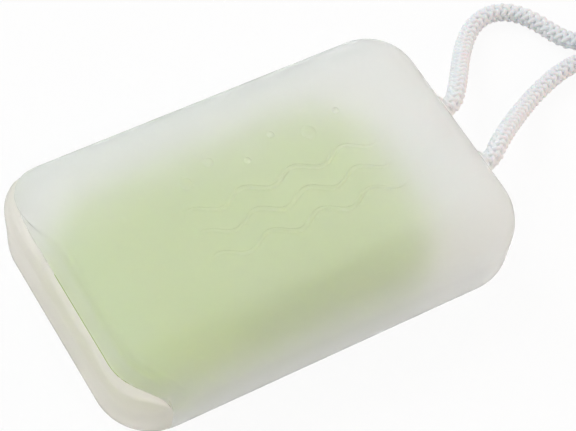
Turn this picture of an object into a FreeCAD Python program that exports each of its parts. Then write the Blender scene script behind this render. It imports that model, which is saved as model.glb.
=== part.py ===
# A travel soap box: a frosted sleeve, a tray that slides into it behind a rounded end cap,
# a bar of soap on the tray, and a cord that goes through two collared holes in the closed end.
# The origin is on the base, at the middle of the case. +X points to the cord's end, +Z up.
import FreeCAD, Part
import math
import os
import Sketcher

doc = FreeCAD.newDocument("travel_soap_box")

# Driving dimensions, in millimetres
SIZES = [
    ("case_length", 110, "outside length of the closed case, without the collars"),
    ("case_width", 69, "outside width of the case"),
    ("case_height", 30, "outside height of the case"),
    ("corner_radius", 14, "rounding of the upright corners, seen from above"),
    ("crown_margin", 0.5, "how much smaller the rounding of the top edge is than the corner's"),
    ("base_radius", 9, "rounding of the bottom edge"),
    ("sleeve_wall", 1.8, "wall of the sleeve"),
    ("lip_wall", 1.5, "wall of the lip that tucks in behind the cap's rim"),
    ("tray_wall", 1.2, "floor and sides of the tray's trough"),
    ("slide_clearance", 0.3, "gap between the sleeve and the tray all round"),
    ("stop_gap", 0.1, "gap between the cap and the sleeve's edge that stops it"),
    ("cap_depth", 12, "how far the end cap reaches along the case"),
    ("cap_band", 4, "length of the thick band that joins the cap to the trough"),
    ("rim_height", 21.6, "height of the cap's rim at the end"),
    ("rim_radius", 8.2, "bend of the rim where it turns down the sides"),
    ("rebate_width", 3.4, "height of the rebate between the rim and the visor's edge"),
    ("visor_radius", 7.1, "bend of the visor's edge where it turns down the sides"),
    ("lip_lap", 2.5, "how far the lip laps the inside of the visor"),
    ("lip_tuck", 0.8, "how far the lip reaches in behind the cap's rim"),
    ("trough_gap", 2.8, "gap between the trough's sides and the lip above them"),
    ("rib_count", 5, "ribs on the trough's floor"),
    ("rib_width", 2, "width of a rib"),
    ("rib_height", 1, "height of a rib above the floor"),
    ("rib_pitch", 10, "distance from rib to rib"),
    ("rib_end_gap", 14, "distance from the last of the ribs to the trough's far end"),
    ("soap_height", 16.2, "thickness of the soap"),
    ("soap_corner_radius", 16, "rounding of the soap's corners, seen from above"),
    ("soap_edge_radius", 5.5, "rounding of the soap's edges"),
    ("soap_end_gap", 5.5, "distance from the open end of the case to the soap"),
    ("soap_far_gap", 19.5, "distance from the soap to the cord's end of the case"),
    ("soap_front_gap", 4, "distance from the front of the case to the soap"),
    ("soap_back_gap", 11, "distance from the soap to the back of the case"),
    ("soap_seat_gap", 0.1, "gap between the ribs and the soap"),
    ("cord_diameter", 5, "diameter of the cord"),
    ("hole_clearance", 0.3, "gap round the cord in its hole"),
    ("hole_spacing", 18, "distance between the two cord holes"),
    ("hole_height", 15, "height of the cord holes"),
    ("collar_length", 1.6, "how far a collar stands out of the end"),
    ("collar_root_diameter", 9.6, "diameter of a collar at the wall"),
    ("collar_tip_diameter", 8, "diameter of a collar at its outer end"),
    ("bight_run", 2.2, "straight run of the cord inside the end wall before it turns back"),
    ("knot_length", 15, "knot along the case"),
    ("knot_width", 14, "knot across the case"),
    ("knot_height", 12.4, "knot from the table up"),
    ("overrun", 10, "how far cutting blocks stand out of what they cut"),
]
sheet = doc.addObject("Spreadsheet::Sheet", "sizes")
for row, (alias, value, meaning) in enumerate(SIZES, start=1):
    sheet.set(f"A{row}", str(value))
    sheet.setAlias(f"A{row}", alias)
    sheet.set(f"B{row}", meaning)
doc.recompute()

# How near two coordinates have to be to count as the same
TOUCH = 1e-4

# The cord's strands from their holes to the knot: x from the end of the case, y, and the height
# above lying on the table. The first point of each strand is in its hole.
STRAND_A_ROUTE = [
    (4.0, 9.0, 12.5),
    (8.7, 13.5, 11.4),
    (14.0, 19.6, 8.2),
    (19.4, 25.8, 4.2),
    (24.8, 31.3, 1.0),
    (30.2, 35.7, 0.0),
    (36.6, 37.3, 0.0),
    (42.4, 35.0, 0.0),
    (46.4, 29.6, 0.0),
    (48.6, 23.0, 0.4),
    (51.4, 18.0, 1.6),
    (56.2, 16.0, 3.4),
]
STRAND_B_ROUTE = [
    (4.1, -9.0, 12.5),
    (9.4, -4.6, 11.4),
    (15.8, -0.3, 8.4),
    (22.6, 4.1, 4.4),
    (29.6, 8.1, 1.3),
    (36.8, 11.2, 0.2),
    (43.2, 12.9, 0.5),
    (48.6, 12.9, 1.5),
    (53.2, 10.6, 3.2),
]
KNOT_PLACE = (58.3, 12.6)
TAIL_A_ROUTE = [(61.0, 15.0, 3.0), (66.4, 17.2, 1.4), (71.2, 18.0, 0.2)]
TAIL_B_ROUTE = [(61.0, 9.4, 3.0), (66.2, 7.8, 1.4), (71.4, 7.2, 0.2)]

# Sizes that follow from the driving ones, as expressions
NO_INSET = "0"
CAP_WALL = "(sizes.sleeve_wall - sizes.slide_clearance)"
TROUGH_INSET = "(sizes.sleeve_wall + sizes.slide_clearance)"
TROUGH_WALL_INSET = f"({TROUGH_INSET} + sizes.tray_wall)"
LIP_INSET = "(sizes.sleeve_wall + sizes.lip_wall)"
CROWN_RADIUS = "(sizes.corner_radius - sizes.crown_margin)"
OPEN_END = "(-sizes.case_length / 2)"
CORD_END = "(sizes.case_length / 2)"
HALF_WIDTH = "(sizes.case_width / 2)"
CAP_EDGE = f"({OPEN_END} + sizes.cap_depth)"
BAND_START = f"({CAP_EDGE} - sizes.cap_band)"
MOUTH_EDGE = f"({CAP_EDGE} + sizes.stop_gap)"
VISOR_HEIGHT = "(sizes.rim_height + sizes.rebate_width)"
LIP_TOP = "(sizes.rim_height - sizes.lip_tuck)"
LIP_EDGE = f"({CAP_EDGE} - sizes.lip_tuck)"
LIP_FOOT = f"({LIP_TOP} - sizes.rim_radius)"
TROUGH_HEIGHT = f"({LIP_FOOT} - sizes.trough_gap)"
SOAP_LENGTH = "(sizes.case_length - sizes.soap_end_gap - sizes.soap_far_gap)"
SOAP_WIDTH = "(sizes.case_width - sizes.soap_front_gap - sizes.soap_back_gap)"
SOAP_BASE = f"({TROUGH_WALL_INSET} + sizes.rib_height + sizes.soap_seat_gap)"


def size(alias):
    """A driving dimension's number."""
    return float(sheet.get(alias))


def bind(thing, **expressions):
    """Ties properties of an object to expressions of the sheet's sizes."""
    for name, expression in expressions.items():
        thing.setExpression(name, str(expression))


def place(thing, x="0", y="0", z="0"):
    """Ties an object's place to expressions of the sheet's sizes."""
    thing.setExpression("Placement.Base.x", x)
    thing.setExpression("Placement.Base.y", y)
    thing.setExpression("Placement.Base.z", z)


def origin_plane(body, role):
    """One of a body's own origin planes."""
    return next(plane for plane in body.Origin.OriginFeatures if plane.Role == role)


def outline_sketch(body, name, role, corners):
    """A closed outline of straight lines on an origin plane. Each corner is a pair of expressions."""
    sketch = body.newObject("Sketcher::SketchObject", name)
    sketch.AttachmentSupport = [(origin_plane(body, role), "")]
    sketch.MapMode = "FlatFace"
    turns = len(corners)
    unit_circle = [
        FreeCAD.Vector(math.cos(2 * math.pi * k / turns), math.sin(2 * math.pi * k / turns), 0)
        for k in range(turns)
    ]
    for k in range(turns):
        sketch.addGeometry(Part.LineSegment(unit_circle[k], unit_circle[(k + 1) % turns]), False)
    for k in range(turns):
        sketch.addConstraint(Sketcher.Constraint("Coincident", k, 2, (k + 1) % turns, 1))
    for k, (across, along) in enumerate(corners):
        for kind, value, expression in (
            ("DistanceX", unit_circle[k].x, across),
            ("DistanceY", unit_circle[k].y, along),
        ):
            index = sketch.addConstraint(Sketcher.Constraint(kind, -1, 1, k, 1, value))
            sketch.setExpression(f"Constraints[{index}]", expression)
    return sketch


def edge_names(shape, wanted):
    """The names of the edges that a test picks."""
    return [f"Edge{k}" for k, edge in enumerate(shape.Edges, start=1) if wanted(edge)]


def round_edges(body, base, name, wanted, radius):
    """Rounds the edges of a feature that a test picks."""
    doc.recompute()
    fillet = body.newObject("PartDesign::Fillet", name)
    fillet.Base = (base, edge_names(base.Shape, wanted))
    bind(fillet, Radius=radius)
    return fillet


def is_upright(edge):
    """Whether an edge runs straight up."""
    box = edge.BoundBox
    return box.ZLength > box.XLength + box.YLength


def lies_at(height):
    """A test for edges that lie level at a height of their own body."""
    def wanted(edge):
        box = edge.BoundBox
        return math.isclose(box.ZMin, height, abs_tol=TOUCH) and math.isclose(
            box.ZMax, height, abs_tol=TOUCH
        )
    return wanted


def rounded_block(label, length, width, height, corner, top, bottom):
    """A block with rounded corners and with its own rounding along the top and bottom edges."""
    body = doc.addObject("PartDesign::Body", label)
    half_length, half_width = f"({length}) / 2", f"({width}) / 2"
    outline = [
        (f"-{half_length}", f"-{half_width}"),
        (half_length, f"-{half_width}"),
        (half_length, half_width),
        (f"-{half_length}", half_width),
    ]
    sketch = outline_sketch(body, f"{label}_plan", "XY_Plane", outline)
    pad = body.newObject("PartDesign::Pad", f"{label}_pad")
    pad.Profile = sketch
    bind(pad, Length=height)
    corners = round_edges(body, pad, f"{label}_corners", is_upright, corner)
    doc.recompute()
    top_edges = lies_at(corners.Shape.BoundBox.ZMax)
    crown = round_edges(body, corners, f"{label}_crown", top_edges, top)
    doc.recompute()
    low_edges = lies_at(crown.Shape.BoundBox.ZMin)
    round_edges(body, crown, f"{label}_base", low_edges, bottom)
    return body


def case_form(label, inset):
    """The outer form of the case, drawn in by an inset on every side."""
    body = rounded_block(
        label,
        f"sizes.case_length - 2 * {inset}",
        f"sizes.case_width - 2 * {inset}",
        f"sizes.case_height - 2 * {inset}",
        f"sizes.corner_radius - {inset}",
        f"{CROWN_RADIUS} - {inset}",
        f"sizes.base_radius - {inset}",
    )
    place(body, z=inset)
    return body


def block(label, x_from, x_to, z_from, z_to, y_from=None, y_to=None):
    """A box between expressions. Without limits across, it runs past both sides of the case."""
    y_from = y_from or f"(-{HALF_WIDTH} - sizes.overrun)"
    y_to = y_to or f"({HALF_WIDTH} + sizes.overrun)"
    box = doc.addObject("Part::Box", label)
    bind(box, Length=f"{x_to} - {x_from}", Width=f"{y_to} - {y_from}", Height=f"{z_to} - {z_from}")
    place(box, x_from, y_from, z_from)
    return box


def join(label, pieces):
    """One solid out of several."""
    fuse = doc.addObject("Part::MultiFuse", label)
    fuse.Shapes = pieces
    fuse.Refine = True
    return fuse


def cut(label, base, tool):
    """What is left of a solid outside another."""
    left = doc.addObject("Part::Cut", label)
    left.Base = base
    left.Tool = tool
    return left


def overlap(label, base, tool):
    """What two solids share."""
    shared = doc.addObject("Part::Common", label)
    shared.Base = base
    shared.Tool = tool
    return shared


# Forms of the case at each depth of its walls
outer_form = case_form("outer_form", NO_INSET)
cap_hollow_form = case_form("cap_hollow_form", CAP_WALL)
sleeve_hollow_form = case_form("sleeve_hollow_form", "sizes.sleeve_wall")
trough_form = case_form("trough_form", TROUGH_INSET)
lip_hollow_form = case_form("lip_hollow_form", LIP_INSET)
trough_hollow_form = case_form("trough_hollow_form", TROUGH_WALL_INSET)


def end_prism(label, top, edge, bend, foot=None, far_x=None):
    """Everything under an outline that runs level from the open end, bends and drops straight down.

    With a foot it drops only to that height, and runs on level from there to far_x.
    """
    body = doc.addObject("PartDesign::Body", label)
    past_end = f"({OPEN_END} - sizes.overrun)"
    # Seen from the front the sketch plane shows X to the right and Z up.
    outline = [(past_end, top), (past_end, "-sizes.overrun")]
    if foot:
        outline += [(far_x, "-sizes.overrun"), (far_x, foot), (edge, foot)]
    else:
        outline.append((edge, "-sizes.overrun"))
    outline.append((edge, top))
    sketch = outline_sketch(body, f"{label}_side", "XZ_Plane", outline)
    pad = body.newObject("PartDesign::Pad", f"{label}_pad")
    pad.Profile = sketch
    pad.Midplane = True
    bind(pad, Length=f"2 * ({HALF_WIDTH} + sizes.overrun)")
    doc.recompute()
    whole = pad.Shape.BoundBox
    at_top = lies_at(whole.ZMax)

    def at_bend(edge):
        box = edge.BoundBox
        return at_top(edge) and box.YLength > box.XLength and box.XMin > whole.XMin + TOUCH
    round_edges(body, pad, f"{label}_bend", at_bend, bend)
    return body


def mouth(label, lap):
    """The room that the sleeve leaves open at its end, widened by a lap."""
    return end_prism(
        label, f"({VISOR_HEIGHT} + {lap})", f"({MOUTH_EDGE} + {lap})", f"(sizes.visor_radius + {lap})"
    )


# Sleeve: the outer shell without its mouth, the lip inside the mouth's edge, and the cord's collars
sleeve_hull = cut("sleeve_hull", outer_form, sleeve_hollow_form)
sleeve_shell = cut("sleeve_shell", sleeve_hull, mouth("sleeve_mouth", "0"))
lip_hull = cut("lip_hull", sleeve_hollow_form, lip_hollow_form)
lip_band = overlap("lip_band", lip_hull, mouth("lip_zone", "sizes.lip_lap"))
lip_under = end_prism(
    "lip_under",
    LIP_TOP,
    LIP_EDGE,
    "(sizes.rim_radius - sizes.lip_tuck)",
    LIP_FOOT,
    f"({MOUTH_EDGE} + sizes.lip_lap + sizes.overrun)",
)
lip = cut("lip", lip_band, lip_under)


def collar(label, side):
    """A collar round a cord hole, rooted in the end wall."""
    cone = doc.addObject("Part::Cone", label)
    cone.Placement.Rotation = FreeCAD.Rotation(FreeCAD.Vector(0, 1, 0), 90)
    bind(
        cone,
        Radius1="sizes.collar_root_diameter / 2",
        Radius2="sizes.collar_tip_diameter / 2",
        Height="sizes.collar_length + sizes.sleeve_wall / 2",
    )
    place(
        cone,
        f"{CORD_END} - sizes.sleeve_wall / 2",
        f"{side} * sizes.hole_spacing / 2",
        "sizes.hole_height",
    )
    return cone


def cord_hole(label, side):
    """The hole that the cord passes through, from inside the wall to past the collar."""
    hole = doc.addObject("Part::Cylinder", label)
    hole.Placement.Rotation = FreeCAD.Rotation(FreeCAD.Vector(0, 1, 0), 90)
    bind(
        hole,
        Radius="sizes.cord_diameter / 2 + sizes.hole_clearance",
        Height="sizes.sleeve_wall + sizes.collar_length + 2 * sizes.overrun",
    )
    place(
        hole,
        f"{CORD_END} - sizes.sleeve_wall - sizes.overrun",
        f"{side} * sizes.hole_spacing / 2",
        "sizes.hole_height",
    )
    return hole


sleeve_blank = join("sleeve_blank", [sleeve_shell, lip, collar("collar_a", 1), collar("collar_b", -1)])
cord_holes = join("cord_holes", [cord_hole("cord_hole_a", 1), cord_hole("cord_hole_b", -1)])
sleeve = cut("sleeve", sleeve_blank, cord_holes)

# Tray: the end cap and the trough behind it, hollowed, with ribs on the trough's floor
cap_prism = end_prism("cap_prism", "sizes.rim_height", CAP_EDGE, "sizes.rim_radius")
cap_blank = overlap("cap_blank", outer_form, cap_prism)
trough_zone = block(
    "trough_zone", BAND_START, f"({CORD_END} + sizes.overrun)", "(-sizes.overrun)", TROUGH_HEIGHT
)
trough_blank = overlap("trough_blank", trough_form, trough_zone)
tray_blank = join("tray_blank", [cap_blank, trough_blank])
past_cap = f"({CAP_EDGE} + sizes.overrun)"
thin_zone = join(
    "thin_zone",
    [
        block("thin_zone_end", f"({OPEN_END} - sizes.overrun)", BAND_START, "0", "sizes.case_height"),
        block(
            "thin_zone_top",
            f"({OPEN_END} - sizes.overrun)",
            past_cap,
            TROUGH_HEIGHT,
            "(sizes.case_height + sizes.overrun)",
        ),
    ],
)
thin_hollow = overlap("thin_hollow", cap_hollow_form, thin_zone)
tray_hollows = join("tray_hollows", [trough_hollow_form, thin_hollow])
tray_shell = cut("tray_shell", tray_blank, tray_hollows)
ribs = []
for k in range(int(size("rib_count"))):
    middle = f"(sizes.rib_pitch * ({k} - (sizes.rib_count - 1) / 2))"
    ribs.append(
        block(
            f"rib_{k + 1}",
            BAND_START,
            f"({CORD_END} - {TROUGH_WALL_INSET} - sizes.rib_end_gap)",
            f"({TROUGH_WALL_INSET} - sizes.tray_wall / 2)",
            f"({TROUGH_WALL_INSET} + sizes.rib_height)",
            f"({middle} - sizes.rib_width / 2)",
            f"({middle} + sizes.rib_width / 2)",
        )
    )
soap_tray = join("soap_tray", [tray_shell] + ribs)

# Soap: a bar with soft corners on the ribs, nearer to the front of the case
soap_bar = rounded_block(
    "soap_bar",
    SOAP_LENGTH,
    SOAP_WIDTH,
    "sizes.soap_height",
    "sizes.soap_corner_radius",
    "sizes.soap_edge_radius",
    "sizes.soap_edge_radius",
)
place(
    soap_bar,
    f"{OPEN_END} + sizes.soap_end_gap + {SOAP_LENGTH} / 2",
    f"-{HALF_WIDTH} + sizes.soap_front_gap + {SOAP_WIDTH} / 2",
    SOAP_BASE,
)
doc.recompute()

# Cord: straight runs joined by tangent arcs, as large as the runs leave room for
ARC_RUN_SHARE = 0.45


def cord_path(name, points):
    """A wire along a route, with an arc at each of its inner points."""
    edges = []
    radii = []
    start = points[0]
    for before, corner, after in zip(points, points[1:], points[2:]):
        back, ahead = (before - corner), (after - corner)
        reach = ARC_RUN_SHARE * min(back.Length, ahead.Length)
        back.normalize()
        ahead.normalize()
        half_turn = (math.pi - back.getAngle(ahead)) / 2
        radius = reach / math.tan(half_turn)
        middle = back + ahead
        middle.normalize()
        arc_start = corner + back * reach
        arc_end = corner + ahead * reach
        centre_distance = math.hypot(reach, radius)
        arc_middle = corner + middle * (centre_distance - radius)
        edges.append(Part.LineSegment(start, arc_start).toShape())
        edges.append(Part.Arc(arc_start, arc_middle, arc_end).toShape())
        radii.append(round(radius, 1))
        start = arc_end
    edges.append(Part.LineSegment(start, points[-1]).toShape())
    print(name, "arc radii", radii)
    return Part.Wire(edges)


def cord_tube(name, path):
    """A round tube along a path, checked against its section times its length."""
    first = path.Edges[0]
    start = first.valueAt(first.FirstParameter)
    along = first.tangentAt(first.FirstParameter)
    section = Part.Wire([Part.makeCircle(size("cord_diameter") / 2, start, along)])
    tube = path.makePipeShell([section], True, False)
    expected = path.Length * math.pi * size("cord_diameter") ** 2 / 4
    print(name, "length", round(path.Length, 1), "volume share", round(tube.Volume / expected, 4))
    return tube


def on_table(route):
    """Points of a route in space: x counts from the end of the case, and heights from lying on the table."""
    end, lying = size("case_length") / 2, size("cord_diameter") / 2
    return [FreeCAD.Vector(end + x, y, lying + lift) for x, y, lift in route]


def hole_start(side):
    """Where a strand starts, at the inner face of the end wall."""
    return FreeCAD.Vector(
        size("case_length") / 2 - size("sleeve_wall"), side * size("hole_spacing") / 2, size("hole_height")
    )


def cord_piece(name, shape):
    """A piece of the cord as an object of the document."""
    piece = doc.addObject("Part::Feature", name)
    piece.Shape = shape
    piece.Placement = FreeCAD.Placement()
    return piece


def bight_path():
    """The cord's turn inside the case, from one hole round to the other."""
    start, end = hole_start(1), hole_start(-1)
    inwards = FreeCAD.Vector(-size("bight_run"), 0, 0)
    turn = FreeCAD.Vector(-size("hole_spacing") / 2, 0, 0)
    middle = (start + end) / 2 + inwards + turn
    return Part.Wire(
        [
            Part.LineSegment(start, start + inwards).toShape(),
            Part.Arc(start + inwards, middle, end + inwards).toShape(),
            Part.LineSegment(end + inwards, end).toShape(),
        ]
    )


def knot_shape():
    """The knot's outer form with the cord's two short tails."""
    lump = doc.addObject("Part::Ellipsoid", "knot_lump")
    bind(lump, Radius1="sizes.knot_height / 2", Radius2="sizes.knot_length / 2")
    bind(lump, Radius3="sizes.knot_width / 2")
    place(lump, f"{CORD_END} + {KNOT_PLACE[0]}", str(KNOT_PLACE[1]), "sizes.knot_height / 2")
    doc.recompute()
    tails = [
        cord_tube(name, cord_path(name, on_table(route)))
        for name, route in (("tail a", TAIL_A_ROUTE), ("tail b", TAIL_B_ROUTE))
    ]
    return lump.Shape.multiFuse(tails).removeSplitter()


strand_a_points = [hole_start(1)] + on_table(STRAND_A_ROUTE)
strand_b_points = [hole_start(-1)] + on_table(STRAND_B_ROUTE)
cord_strand_a = cord_piece("cord_strand_a", cord_tube("strand a", cord_path("strand a", strand_a_points)))
cord_strand_b = cord_piece("cord_strand_b", cord_tube("strand b", cord_path("strand b", strand_b_points)))
cord_bight = cord_piece("cord_bight", cord_tube("bight", bight_path()))
cord_knot = cord_piece("cord_knot", knot_shape())
doc.recompute()

# Every object has to be sound before anything is written
for thing in doc.Objects:
    if "Invalid" in thing.State or "Error" in thing.State:
        raise RuntimeError(f"{thing.Label} failed: {thing.State}")
PARTS = [sleeve, soap_tray, soap_bar, cord_strand_a, cord_strand_b, cord_bight, cord_knot]
os.makedirs("parts", exist_ok=True)
for part in PARTS:
    shape = part.Shape
    if shape.isNull() or not shape.isValid() or len(shape.Solids) != 1:
        raise RuntimeError(f"{part.Label} isn't one sound solid")
    box = shape.BoundBox
    low = tuple(round(value, 2) for value in (box.XMin, box.YMin, box.ZMin))
    high = tuple(round(value, 2) for value in (box.XMax, box.YMax, box.ZMax))
    print(part.Label, "volume", round(shape.Volume, 1), "from", low, "to", high)
for part in PARTS:
    part.Shape.exportStep(f"parts/{part.Label}.step")
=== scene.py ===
# %% [markdown]
# # A frosted travel soap box
#
# The real thing is a rounded case of milky plastic in two mouldings. A sleeve with a visor makes most
# of it, and a tray with a rounded end cap slides in at the other end. A green bar of soap shows through
# the walls, and a white braided cord leaves the closed end through two collars.
#
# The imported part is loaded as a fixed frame. Each piece is then built over its solid, in the same place
# and at the same size, so nothing has to be fitted afterwards.

# %% Load the frame
import math
from collections import namedtuple

import bmesh
import bpy
import numpy as np
from mathutils import Matrix, Vector


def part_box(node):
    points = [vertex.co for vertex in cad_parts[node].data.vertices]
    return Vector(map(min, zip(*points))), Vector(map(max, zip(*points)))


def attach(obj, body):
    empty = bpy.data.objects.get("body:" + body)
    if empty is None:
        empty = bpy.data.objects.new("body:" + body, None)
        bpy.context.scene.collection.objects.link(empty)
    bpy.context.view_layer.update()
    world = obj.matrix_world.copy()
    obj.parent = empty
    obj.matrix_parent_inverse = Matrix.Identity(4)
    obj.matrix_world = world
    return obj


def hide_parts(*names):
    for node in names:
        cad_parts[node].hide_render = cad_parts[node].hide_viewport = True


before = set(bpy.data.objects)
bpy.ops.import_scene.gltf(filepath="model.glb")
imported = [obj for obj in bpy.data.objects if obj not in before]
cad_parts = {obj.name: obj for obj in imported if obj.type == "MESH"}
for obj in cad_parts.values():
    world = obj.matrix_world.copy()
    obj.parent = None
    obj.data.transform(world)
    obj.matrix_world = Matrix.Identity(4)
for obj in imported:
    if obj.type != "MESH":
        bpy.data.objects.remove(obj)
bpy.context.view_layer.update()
MM = 0.001

# %% [markdown]
# ## Camera
#
# The camera looks down on the case from its front left, with a slight roll. A long lens stands far
# away, which keeps the edges of the case nearly parallel. The focal length is given in picture widths,
# because the sensor's width then drops out.

# %% Camera
VIEW_AZIMUTH = math.radians(-40.29)
VIEW_ELEVATION = math.radians(56.05)
VIEW_ROLL = math.radians(11.94)
VIEW_DISTANCE = 533.72 * MM
VIEW_TARGET = Vector((6.30, -0.63, 15.0)) * MM
LENS_IN_PICTURE_WIDTHS = 3.9192
NEAR_CLIP_SHARE = 0.01


def place_object(name, data):
    """A new object of the scene."""
    item = bpy.data.objects.new(name, data)
    bpy.context.scene.collection.objects.link(item)
    return item


def add_camera():
    """Makes the scene's camera and returns it."""
    level_right = Vector((math.cos(VIEW_AZIMUTH), math.sin(VIEW_AZIMUTH), 0))
    back = Vector((
        math.sin(VIEW_AZIMUTH) * math.cos(VIEW_ELEVATION),
        -math.cos(VIEW_AZIMUTH) * math.cos(VIEW_ELEVATION),
        math.sin(VIEW_ELEVATION),
    ))
    level_up = back.cross(level_right)
    right = math.cos(VIEW_ROLL) * level_right + math.sin(VIEW_ROLL) * level_up
    up = back.cross(right)
    data = bpy.data.cameras.new("camera")
    data.lens = LENS_IN_PICTURE_WIDTHS * data.sensor_width
    data.clip_start = NEAR_CLIP_SHARE * VIEW_DISTANCE
    camera = place_object("camera", data)
    turn = Matrix((right, up, back)).transposed().to_4x4()
    camera.matrix_world = Matrix.Translation(VIEW_TARGET + VIEW_DISTANCE * back) @ turn
    bpy.context.scene.camera = camera
    return camera


camera = add_camera()
print("camera at", [round(value, 3) for value in camera.location], "lens", round(camera.data.lens, 1))

# %% [markdown]
# ## Node helpers
#
# Materials and geometry trees are both node trees, so one helper adds a node, sets it up and links it.
# An input takes either a plain value or the output of another node.

# %% Node helpers
def set_inputs(tree, node, inputs):
    """Sets inputs of a node to plain values, or links them to the outputs of other nodes."""
    for name, value in inputs.items():
        if isinstance(value, bpy.types.NodeSocket):
            tree.links.new(value, node.inputs[name])
        else:
            node.inputs[name].default_value = value


def add_node(tree, kind, inputs=None, **settings):
    """A new node of a tree, with its settings made and its inputs set or linked."""
    node = tree.nodes.new(kind)
    for name, value in settings.items():
        setattr(node, name, value)
    set_inputs(tree, node, inputs or {})
    return node


def calculate(tree, operation, first, second=0.0):
    """The output of a node that calculates with one or two numbers."""
    inputs = {0: first, 1: second}
    return add_node(tree, "ShaderNodeMath", inputs, operation=operation).outputs[0]


def vector_math(tree, operation, inputs):
    """The output of a node that calculates with vectors."""
    return add_node(tree, "ShaderNodeVectorMath", inputs, operation=operation).outputs[0]


def vector(tree, **axes):
    """The output of a node that makes a vector of its X, Y and Z."""
    return add_node(tree, "ShaderNodeCombineXYZ", axes).outputs[0]


def between(tree, share, low, high):
    """A number that goes from low to high as a share goes from 0 to 1."""
    inputs = {"Value": share, "To Min": low, "To Max": high}
    return add_node(tree, "ShaderNodeMapRange", inputs).outputs[0]


def new_material(name):
    """A material with an empty tree, its surface node and its output."""
    material = bpy.data.materials.new(name)
    material.use_nodes = True
    tree = material.node_tree
    tree.nodes.clear()
    surface = add_node(tree, "ShaderNodeBsdfPrincipled")
    add_node(tree, "ShaderNodeOutputMaterial", {"Surface": surface.outputs[0]})
    return material, tree, surface


print("node helpers", add_node.__name__, calculate.__name__, vector.__name__, new_material.__name__)

# %% [markdown]
# ## Light, floor and background
#
# The object stands on a pale floor in soft light. A cool window is behind it to the left, and a weaker
# warm one in front to the right, which gives the plastic its bluish and its creamy side. For rays that
# come from the camera, a gloss or the plastic itself, the floor is mixed with white light, so that the
# background is white without more light on the object, and the floor still takes a shadow.

# %% World and floor
AMBIENT = 0.55
WHITE = (1, 1, 1, 1)
FLOOR_COLOUR = (0.90, 0.90, 0.90, 1)
FLOOR_HALF = 3.0
FLOOR_DROP = 0.2 * MM
FLOOR_GLOW_SHARE = 0.92


def seen_directly(tree):
    """1 for rays from the camera, from a gloss or through the plastic, and 0 for the others."""
    path = add_node(tree, "ShaderNodeLightPath").outputs
    shiny = calculate(tree, "MAXIMUM", path["Is Glossy Ray"], path["Is Transmission Ray"])
    return calculate(tree, "MAXIMUM", path["Is Camera Ray"], shiny)


def add_world():
    """White where it is seen, and a plain soft light everywhere else."""
    world = bpy.data.worlds.new("studio")
    world.use_nodes = True
    tree = world.node_tree
    tree.nodes.clear()
    strength = between(tree, seen_directly(tree), AMBIENT, 1.0)
    light = add_node(tree, "ShaderNodeBackground", {"Color": WHITE, "Strength": strength})
    add_node(tree, "ShaderNodeOutputWorld", {"Surface": light.outputs[0]})
    bpy.context.scene.world = world


def add_floor():
    """A pale floor that keeps the object's shadow."""
    material, tree, surface = new_material("pale_floor")
    set_inputs(tree, surface, {"Base Color": FLOOR_COLOUR, "Roughness": 0.9, "Specular IOR Level": 0.1})
    glow = add_node(tree, "ShaderNodeEmission", {"Color": WHITE, "Strength": 1.0}).outputs[0]
    share = calculate(tree, "MULTIPLY", seen_directly(tree), FLOOR_GLOW_SHARE)
    mixed = add_node(tree, "ShaderNodeMixShader", {0: share, 1: surface.outputs[0], 2: glow}).outputs[0]
    output = next(node for node in tree.nodes if node.type == "OUTPUT_MATERIAL")
    tree.links.new(mixed, output.inputs["Surface"])
    corners = [(-1, -1), (1, -1), (1, 1), (-1, 1)]
    mesh = bpy.data.meshes.new("floor")
    places = [(FLOOR_HALF * x, FLOOR_HALF * y, -FLOOR_DROP) for x, y in corners]
    mesh.from_pydata(places, [], [(0, 1, 2, 3)])
    mesh.materials.append(material)
    floor = place_object("floor", mesh)


add_world()
add_floor()
print("floor", FLOOR_DROP / MM, "mm under the case")


# %% Windows
def add_window(name, place, size, watts, colour):
    """A soft square lamp that faces the case."""
    data = bpy.data.lights.new(name, "AREA")
    data.size = size
    data.energy = watts
    data.color = colour
    lamp = place_object(name, data)
    lamp.location = place
    lamp.rotation_mode = "QUATERNION"
    lamp.rotation_quaternion = (VIEW_TARGET - lamp.location).to_track_quat("-Z", "Y")


add_window("cool_window", (-0.30, 0.75, 0.85), size=0.7, watts=6.5, colour=(0.92, 0.97, 1.0))
add_window("warm_window", (0.78, -0.42, 0.36), size=0.6, watts=3.0, colour=(1.0, 0.71, 0.55))
bpy.context.scene.view_settings.view_transform = "Standard"

# %% [markdown]
# ## Frosted plastic
#
# The case is moulded in milky plastic with a fine satin skin. Light goes through it, but every wall
# scatters it, so what touches the wall shows as a soft patch and what lies deeper dissolves. A rough
# transmission does exactly that: the blur grows with the distance behind the wall. A share of plain
# white makes the milk. Slow clouds change the roughness a little, and a fine grain gives the satin.

# %% Frosted plastic
CLEAR_SHARE = 0.85
SATIN_ROUGHNESS = (0.68, 0.76)
CLOUD_SHADE = 0.97
PLASTIC_IOR = 1.45


def noise(tree, place, scale, detail):
    """A cloudy pattern."""
    inputs = {"Vector": place, "Scale": scale, "Detail": detail}
    return add_node(tree, "ShaderNodeTexNoise", inputs).outputs[0]


def bumps(tree, height, strength, depth):
    """The normals of a surface with small bumps."""
    inputs = {"Height": height, "Strength": strength, "Distance": depth}
    return add_node(tree, "ShaderNodeBump", inputs).outputs[0]


def blend_colours(tree, share, first, second):
    """The mix of two colours. A colour is a plain value or the output of another node."""
    inputs = {"Factor": share, "A": first, "B": second}
    return add_node(tree, "ShaderNodeMix", inputs, data_type="RGBA").outputs["Result"]


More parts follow.
